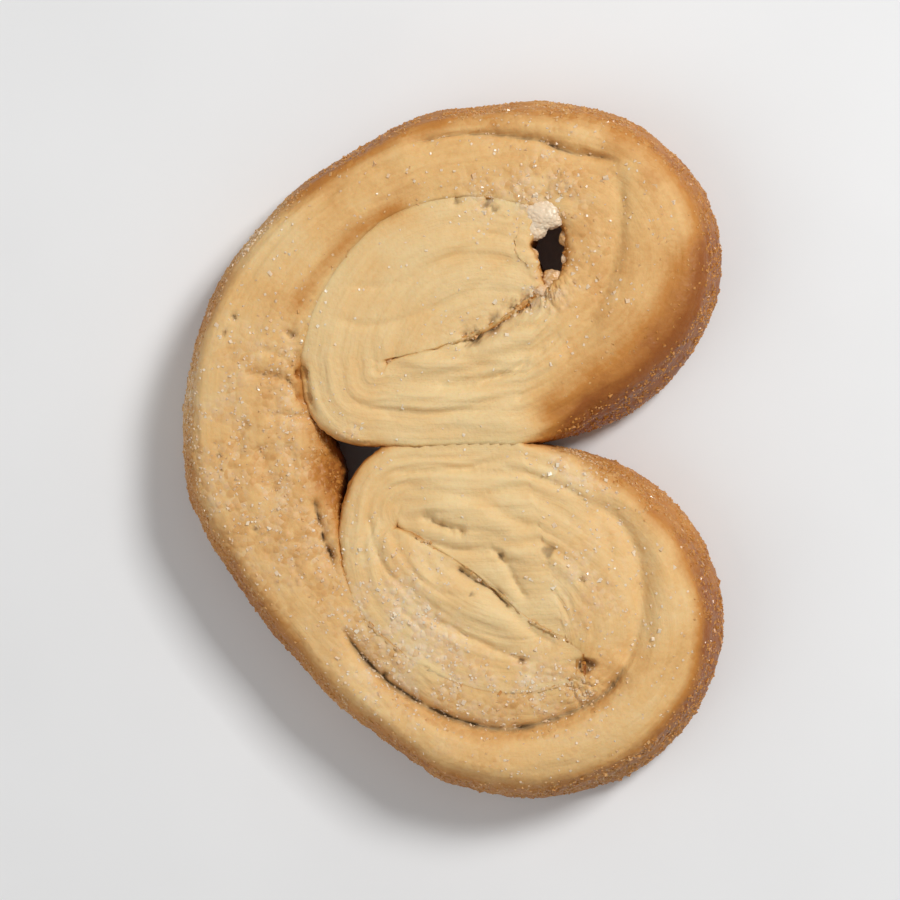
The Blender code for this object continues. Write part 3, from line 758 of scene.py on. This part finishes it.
def dough_material(colours):
    """Laminated dough, browned where it faces the oven and crusted with melted and loose sugar, with painted light and
    shade in its browning and its fissures.
    """
    material, tree, shader = new_material("Sugared puff pastry")
    where = add(tree, "ShaderNodeTexCoord").outputs["Object"]
    bake, crust, hollow = (attribute(tree, name) for name in ("bake", "crust", "hollow"))
    ply_place = attribute(tree, "ply_place", "Vector")

    def along_plies(length, width):
        scaled = add(tree, "ShaderNodeVectorMath", {0: ply_place, 1: (1 / length, 1 / width, 1.0)}, operation="MULTIPLY")
        return speckle(tree, scaled.outputs[0], 1.0, 3.0)

    streaks, threads = along_plies(9.0, 0.55), along_plies(5.0, 0.22)
    blotches, freckles = speckle(tree, where, 4.5 * MM, 4.0, 0.6), speckle(tree, where, 0.5 * MM, 3.0, 0.6)
    cells = add(tree, "ShaderNodeTexVoronoi", {"Vector": where, "Scale": 1.0 / (0.65 * MM)})
    grain = between(tree, cells.outputs["Distance"], 0.75, 0.2)
    plain = calculate(tree, "SUBTRACT", 1.0, crust)

    toast = total(
        tree, bake, swing(tree, blotches, 0.32), swing(tree, freckles, 0.16),
        calculate(tree, "MULTIPLY", plain, swing(tree, streaks, 0.18)),
        calculate(tree, "MULTIPLY", crust, swing(tree, cells.outputs["Color"], 0.30)),
    )
    crumb = ramp(tree, toast, (
        (0.0, colours.cream), (0.3, colours.golden), (0.62, colours.toasted), (1.0, colours.caramel),
    ))
    sugared = ramp(tree, toast, ((0.0, colours.sugar), (0.36, colours.blush), (0.66, colours.toasted), (1.0, colours.caramel)))
    coarse_grain = calculate(tree, "MULTIPLY_ADD", grain, 0.6, 0.4)
    cover = calculate(tree, "MULTIPLY", between(tree, calculate(tree, "MULTIPLY", crust, coarse_grain), 0.1, 0.8), 0.75)
    colour = mixed(tree, cover, crumb, sugared)
    # Fissures and pits take the hollow colour: dark browned dough and painted shade
    colour = mixed(tree, calculate(tree, "MULTIPLY", between(tree, hollow, 0.1, 0.75), 0.8), colour, (*colours.hollow, 1.0))

    relief = total(
        tree,
        calculate(tree, "MULTIPLY", calculate(tree, "MULTIPLY", crust, grain), 0.08),
        calculate(tree, "MULTIPLY", freckles, 0.10),
        calculate(tree, "MULTIPLY", calculate(tree, "MULTIPLY", plain, streaks), 0.10),
        calculate(tree, "MULTIPLY", calculate(tree, "MULTIPLY", plain, threads), 0.05),
    )
    bump = add(tree, "ShaderNodeBump", {"Height": relief, "Strength": 0.8, "Distance": 1.0 * MM})
    gloss = calculate(tree, "MULTIPLY_ADD", between(tree, toast, 0.45, 1.0), -0.18, 0.62)
    set_inputs(tree, shader, {
        "Base Color": colour,
        "Roughness": calculate(tree, "MULTIPLY_ADD", cover, -0.15, gloss),
        "Specular IOR Level": 0.3,
        "Normal": bump.outputs[0],
        "Subsurface Weight": 0.15,
        "Subsurface Radius": (1.0, 0.45, 0.2),
        "Subsurface Scale": 1.2 * MM,
    })
    return material


def sugar_material(colours):
    """Sugar crystals, from clear white to the gold of those that half melted."""
    material, tree, shader = new_material("Sugar crystals")
    where = add(tree, "ShaderNodeTexCoord").outputs["Object"]
    uneven = swing(tree, speckle(tree, where, 0.3 * MM), 0.2)
    tint = total(tree, attribute(tree, "bake"), swing(tree, attribute(tree, "tint"), 0.35), uneven)
    set_inputs(tree, shader, {
        "Base Color": ramp(tree, tint, (
            (0.0, colours.crystal), (0.3, colours.sugar), (0.5, colours.blush), (0.8, colours.toasted),
        )),
        "Roughness": calculate(tree, "MULTIPLY_ADD", attribute(tree, "tint"), 0.3, 0.2),
        "Subsurface Weight": 0.2,
        "Subsurface Radius": (1.0, 0.8, 0.6),
        "Subsurface Scale": 0.5 * MM,
    })
    return material


# Loose sugar -----------------------------------------------------------------------------------------

def crystal_mesh(size):
    """A small block with uneven corners, as a sugar crystal is."""
    bm = bmesh.new()
    bmesh.ops.create_cube(bm, size=size)
    for vert in bm.verts:
        vert.co += 0.22 * size * noise.noise_vector(3.1 * vert.co / size + Vector((5, 2, 9)))
    mesh = bpy.data.meshes.new("crystal")
    bm.to_mesh(mesh)
    bm.free()
    return mesh


def scatter_tree(crystal, sunk, count_per_mm2, field, seed):
    """Geometry Nodes that lay crystals on a surface, as densely as one of its attributes says."""
    tree = bpy.data.node_groups.new("scatter sugar", "GeometryNodeTree")
    tree.interface.new_socket("Geometry", in_out="INPUT", socket_type="NodeSocketGeometry")
    tree.interface.new_socket("Geometry", in_out="OUTPUT", socket_type="NodeSocketGeometry")
    surface = add(tree, "NodeGroupInput").outputs[0]
    share = add(tree, "GeometryNodeInputNamedAttribute", {"Name": field}, data_type="FLOAT").outputs["Attribute"]
    density = calculate(tree, "MULTIPLY", share, count_per_mm2 / MM**2)
    points = add(tree, "GeometryNodeDistributePointsOnFaces", {"Mesh": surface, "Density": density, "Seed": seed})
    down = add(tree, "ShaderNodeVectorMath", {0: points.outputs["Normal"], "Scale": -sunk}, operation="SCALE")
    settled = add(tree, "GeometryNodeSetPosition", {"Geometry": points.outputs["Points"], "Offset": down.outputs[0]})
    turn = add(tree, "FunctionNodeRandomValue", {"Max": (math.tau,) * 3, "Seed": seed + 1}, data_type="FLOAT_VECTOR")
    size = add(tree, "FunctionNodeRandomValue", data_type="FLOAT_VECTOR")
    size.inputs[0].default_value, size.inputs[1].default_value = (0.6, 0.6, 0.55), (1.15, 1.1, 1.0)
    size.inputs["Seed"].default_value = seed + 2
    grain = add(tree, "GeometryNodeObjectInfo", {"Object": crystal}).outputs["Geometry"]
    crystals = add(tree, "GeometryNodeInstanceOnPoints", {
        "Points": settled.outputs[0], "Instance": grain,
        "Rotation": turn.outputs[0], "Scale": size.outputs[0],
    })
    shade = add(tree, "FunctionNodeRandomValue", {"Seed": seed + 3}, data_type="FLOAT")
    tinted = add(tree, "GeometryNodeStoreNamedAttribute", {
        "Geometry": crystals.outputs[0], "Name": "tint", "Value": shade.outputs[1],
    }, data_type="FLOAT", domain="INSTANCE")
    joined = add(tree, "GeometryNodeRealizeInstances", {"Geometry": tinted.outputs[0]})
    add(tree, "NodeGroupOutput", {0: joined.outputs[0]})
    return tree


def scattered(name, surface, crystal, sunk, count_per_mm2, field, seed):
    """A piece of loose crystals that lie on a surface."""
    carrier = bpy.data.objects.new("carrier", surface)
    bpy.context.scene.collection.objects.link(carrier)
    carrier.modifiers.new("scatter", "NODES").node_group = scatter_tree(crystal, sunk, count_per_mm2, field, seed)
    depsgraph = bpy.context.evaluated_depsgraph_get()
    mesh = bpy.data.meshes.new_from_object(carrier.evaluated_get(depsgraph), depsgraph=depsgraph)
    bpy.data.objects.remove(carrier)
    mesh.name = name
    return mesh


# Settings --------------------------------------------------------------------------------------------

def length_setting(name, description, default):
    return FloatProperty(name=name, description=description, default=default, min=0.0, unit="LENGTH", precision=5)


def colour_setting(name, description, default):
    return FloatVectorProperty(
        name=name, description=description, default=default, min=0.0, max=1.0, size=3, subtype="COLOR"
    )


class DoughSettings(bpy.types.PropertyGroup):
    pitch: length_setting("Pitch", "Distance between cross-sections along the strip", 0.415 * MM)
    ply_depth: length_setting("Ply depth", "Height of the ridges that the parted plies make", 0.28 * MM)
    crust_depth: length_setting("Crust depth", "Height of the lumps in the sugar crust", 0.24 * MM)
    relief: FloatProperty(name="Relief", description="How strongly folds and fissures stand out", default=1.3)
    swell: length_setting("Swell", "How far the dough puffs unevenly", 0.22 * MM)


class ColourSettings(bpy.types.PropertyGroup):
    cream: colour_setting("Cream", "Palest baked dough", (0.800, 0.590, 0.300))
    golden: colour_setting("Golden", "Golden dough", (0.750, 0.455, 0.178))
    toasted: colour_setting("Toasted", "Browned dough", (0.530, 0.218, 0.042))
    caramel: colour_setting("Caramel", "Darkest, caramelised dough", (0.300, 0.093, 0.017))
    # Dough in the fissures and pits: its dark colour is partly browning, partly painted shade
    hollow: colour_setting("Hollow", "Dough inside the fissures", (0.230, 0.145, 0.068))
    sugar: colour_setting("Sugar", "Sugar melted on the dough", (0.810, 0.600, 0.400))
    blush: colour_setting("Blush", "Sugar that has begun to turn", (0.670, 0.370, 0.135))
    crystal: colour_setting("Crystal", "Loose sugar", (0.860, 0.720, 0.530))


class SugarSettings(bpy.types.PropertyGroup):
    fine_size: length_setting("Fine size", "Size of a fine crystal", 0.28 * MM)
    fine_count: FloatProperty(name="Fine count", description="Fine crystals on each mm2 of full crust", default=5.5)
    coarse_size: length_setting("Coarse size", "Size of a coarse crystal", 0.50 * MM)
    coarse_count: FloatProperty(name="Coarse count", description="Coarse crystals on each mm2", default=0.3)
    seed: IntProperty(name="Seed", description="Where the crystals fall", default=4, min=0)


class StageSettings(bpy.types.PropertyGroup):
    tilt: FloatProperty(
        name="Camera tilt", description="How far the view leans from straight down towards the cleft",
        default=math.radians(4), subtype="ANGLE",
    )
    distance: length_setting("Camera distance", "From the camera to the pastry", 360 * MM)
    lens: FloatProperty(name="Lens", description="Focal length in millimetres", default=135.0)
    key: FloatProperty(name="Key light", description="Power of the main light", default=2.75, unit="POWER")
    fill: FloatProperty(name="Fill light", description="Power of the light on the other side", default=0.9, unit="POWER")
    ambient: FloatProperty(name="Ambient", description="Strength of the light from all round", default=0.28)


SETTINGS = {
    "palmier_dough": DoughSettings,
    "palmier_colours": ColourSettings,
    "palmier_sugar": SugarSettings,
    "palmier_stage": StageSettings,
}


# Operators -------------------------------------------------------------------------------------------

class PALMIER_OT_dough(bpy.types.Operator):
    """Sweep, part and brown the strip of dough"""

    bl_idname = "palmier.dough"
    bl_label = "Dough"

    def execute(self, context):
        scene = context.scene
        strip = bare_strip(scene.palmier_dough.pitch / MM)
        bm = strip_mesh(bake_strip(strip, scene.palmier_dough), plan_shift(strip.points))
        mesh = bpy.data.meshes.new("palmier_dough")
        bm.to_mesh(mesh)
        bm.free()
        mesh.shade_smooth()
        mesh.materials.append(dough_material(scene.palmier_colours))
        dough = new_piece("palmier_dough", mesh)
        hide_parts("palmier")
        return {"FINISHED"}


class PALMIER_OT_sugar(bpy.types.Operator):
    """Strew fine and coarse sugar crystals on the crust"""

    bl_idname = "palmier.sugar"
    bl_label = "Loose sugar"

    def execute(self, context):
        settings = context.scene.palmier_sugar
        surface = bpy.data.objects["palmier_dough"].data
        material = sugar_material(context.scene.palmier_colours)
        kinds = (
            ("fine_sugar", settings.fine_size, settings.fine_count),
            ("coarse_sugar", settings.coarse_size, settings.coarse_count),
        )
        for k, (name, size, count) in enumerate(kinds):
            crystal = bpy.data.objects.new("crystal", crystal_mesh(size))
            context.scene.collection.objects.link(crystal)
            mesh = scattered(name, surface, crystal, 0.3 * size, count, "loose", settings.seed + 10 * k)
            bpy.data.objects.remove(crystal)
            mesh.materials.clear()
            mesh.materials.append(material)
            new_piece(name, mesh)
        return {"FINISHED"}


def look_from(camera, target, direction, distance, up):
    """Place a camera or light at a distance from a target in a direction, with up upwards in its view."""
    back = Vector(direction).normalized()
    right = Vector(up).cross(back).normalized()
    turn = Matrix((right, back.cross(right), back)).transposed()
    camera.matrix_world = Matrix.Translation(Vector(target) + distance * back) @ turn.to_4x4()


class PALMIER_OT_lumps(bpy.types.Operator):
    """Cake sugar and crumbs at the upper lobe's eye"""

    bl_idname = "palmier.lumps"
    bl_label = "Sugar lumps"

    def execute(self, context):
        shift = plan_shift(bare_strip(2.0).points)
        bm = bmesh.new()
        tints = [bm.verts.layers.float.new(name) for name in ("bake", "tint")]
        for k, (place, radii, brownness) in enumerate(LUMPS):
            ball = bmesh.ops.create_icosphere(bm, subdivisions=6 if k == 0 else 5, radius=1.0)["verts"]
            at = np.array([vert.co for vert in ball]) + 7.0 * k
            swell = 1.0 + 0.18 * noise_at(at, 0.8, 2, seed=20.0) + 0.07 * grains_at(at, 0.3, seed=21.0)
            points = (at - 7.0 * k) * swell[:, None] * radii + place + shift
            shades = brownness + 0.12 * noise_at(points, 0.8, 2, seed=22.0)
            for vert, point, shade in zip(ball, points, shades):
                vert.co = point * MM
                vert[tints[0]] = shade
                vert[tints[1]] = 0.5
        mesh = bpy.data.meshes.new("sugar_lumps")
        bm.to_mesh(mesh)
        bm.free()
        mesh.shade_smooth()
        mesh.materials.append(sugar_material(context.scene.palmier_colours))
        new_piece("sugar_lumps", mesh)
        return {"FINISHED"}


class PALMIER_OT_stage(bpy.types.Operator):
    """Lay the floor and set the camera and the lights"""

    bl_idname = "palmier.stage"
    bl_label = "Stage"

    def execute(self, context):
        scene, settings = context.scene, context.scene.palmier_stage
        bm = bmesh.new()
        bmesh.ops.create_grid(bm, x_segments=1, y_segments=1, size=1.2)
        mesh = bpy.data.meshes.new("floor")
        bm.to_mesh(mesh)
        bm.free()
        mesh.materials.append(floor_material())
        floor = bpy.data.objects.new("floor", mesh)
        scene.collection.objects.link(floor)

        middle = 0.5 * (Vector(CAD_BOX[0]) + Vector(CAD_BOX[1]))
        camera = bpy.data.objects.new("camera", bpy.data.cameras.new("camera"))
        scene.collection.objects.link(camera)
        camera.data.lens = settings.lens
        camera.data.clip_start = 0.01
        lean = (math.sin(settings.tilt), 0.0, math.cos(settings.tilt))
        look_from(camera, middle, lean, settings.distance, (0, 1, 0))
        scene.camera = camera

        for name, power, size, direction in (
            ("key", settings.key, 0.16, (0.65, 0.55, 0.9)),
            ("fill", settings.fill, 0.50, (-0.9, -0.4, 0.9)),
        ):
            light = bpy.data.objects.new(name, bpy.data.lights.new(name, "AREA"))
            light.data.energy = power
            light.data.size = size
            scene.collection.objects.link(light)
            look_from(light, middle, direction, 0.6, (0, 0, 1))

        world = bpy.data.worlds.new("studio")
        scene.world = world
        world.use_nodes = True
        sky = world.node_tree.nodes["Background"]
        sky.inputs["Color"].default_value = (1.0, 1.0, 1.0, 1.0)
        sky.inputs["Strength"].default_value = settings.ambient
        scene.view_settings.view_transform = "Standard"
        return {"FINISHED"}


def floor_material():
    material, tree, shader = new_material("Pale table")
    where = add(tree, "ShaderNodeTexCoord").outputs["Object"]
    tone = speckle(tree, where, 40 * MM, 4.0)
    set_inputs(tree, shader, {
        "Base Color": ramp(tree, tone, ((0.3, (0.80, 0.80, 0.80)), (0.7, (0.84, 0.84, 0.84)))),
        "Roughness": 0.7,
    })
    return material


STEPS = (PALMIER_OT_dough, PALMIER_OT_sugar, PALMIER_OT_lumps, PALMIER_OT_stage)


class PALMIER_PT_panel(bpy.types.Panel):
    """The pastry's pieces and their settings"""

    bl_idname = "PALMIER_PT_panel"
    bl_label = "Palmier"
    bl_space_type = "VIEW_3D"
    bl_region_type = "UI"
    bl_category = "Palmier"

    def draw(self, context):
        for name, group in SETTINGS.items():
            box = self.layout.box()
            for setting in group.__annotations__:
                box.prop(getattr(context.scene, name), setting)
        for step in STEPS:
            self.layout.operator(step.bl_idname)


def register():
    for group in (*SETTINGS.values(), *STEPS, PALMIER_PT_panel):
        bpy.utils.register_class(group)
    for name, group in SETTINGS.items():
        setattr(bpy.types.Scene, name, PointerProperty(type=group))


def unregister():
    for name in SETTINGS:
        delattr(bpy.types.Scene, name)
    for group in reversed((*SETTINGS.values(), *STEPS, PALMIER_PT_panel)):
        bpy.utils.unregister_class(group)


def main():
    register()
    bpy.ops.palmier.dough()
    bpy.ops.palmier.sugar()
    bpy.ops.palmier.lumps()
    bpy.ops.palmier.stage()


if __name__ == "__main__":
    main()
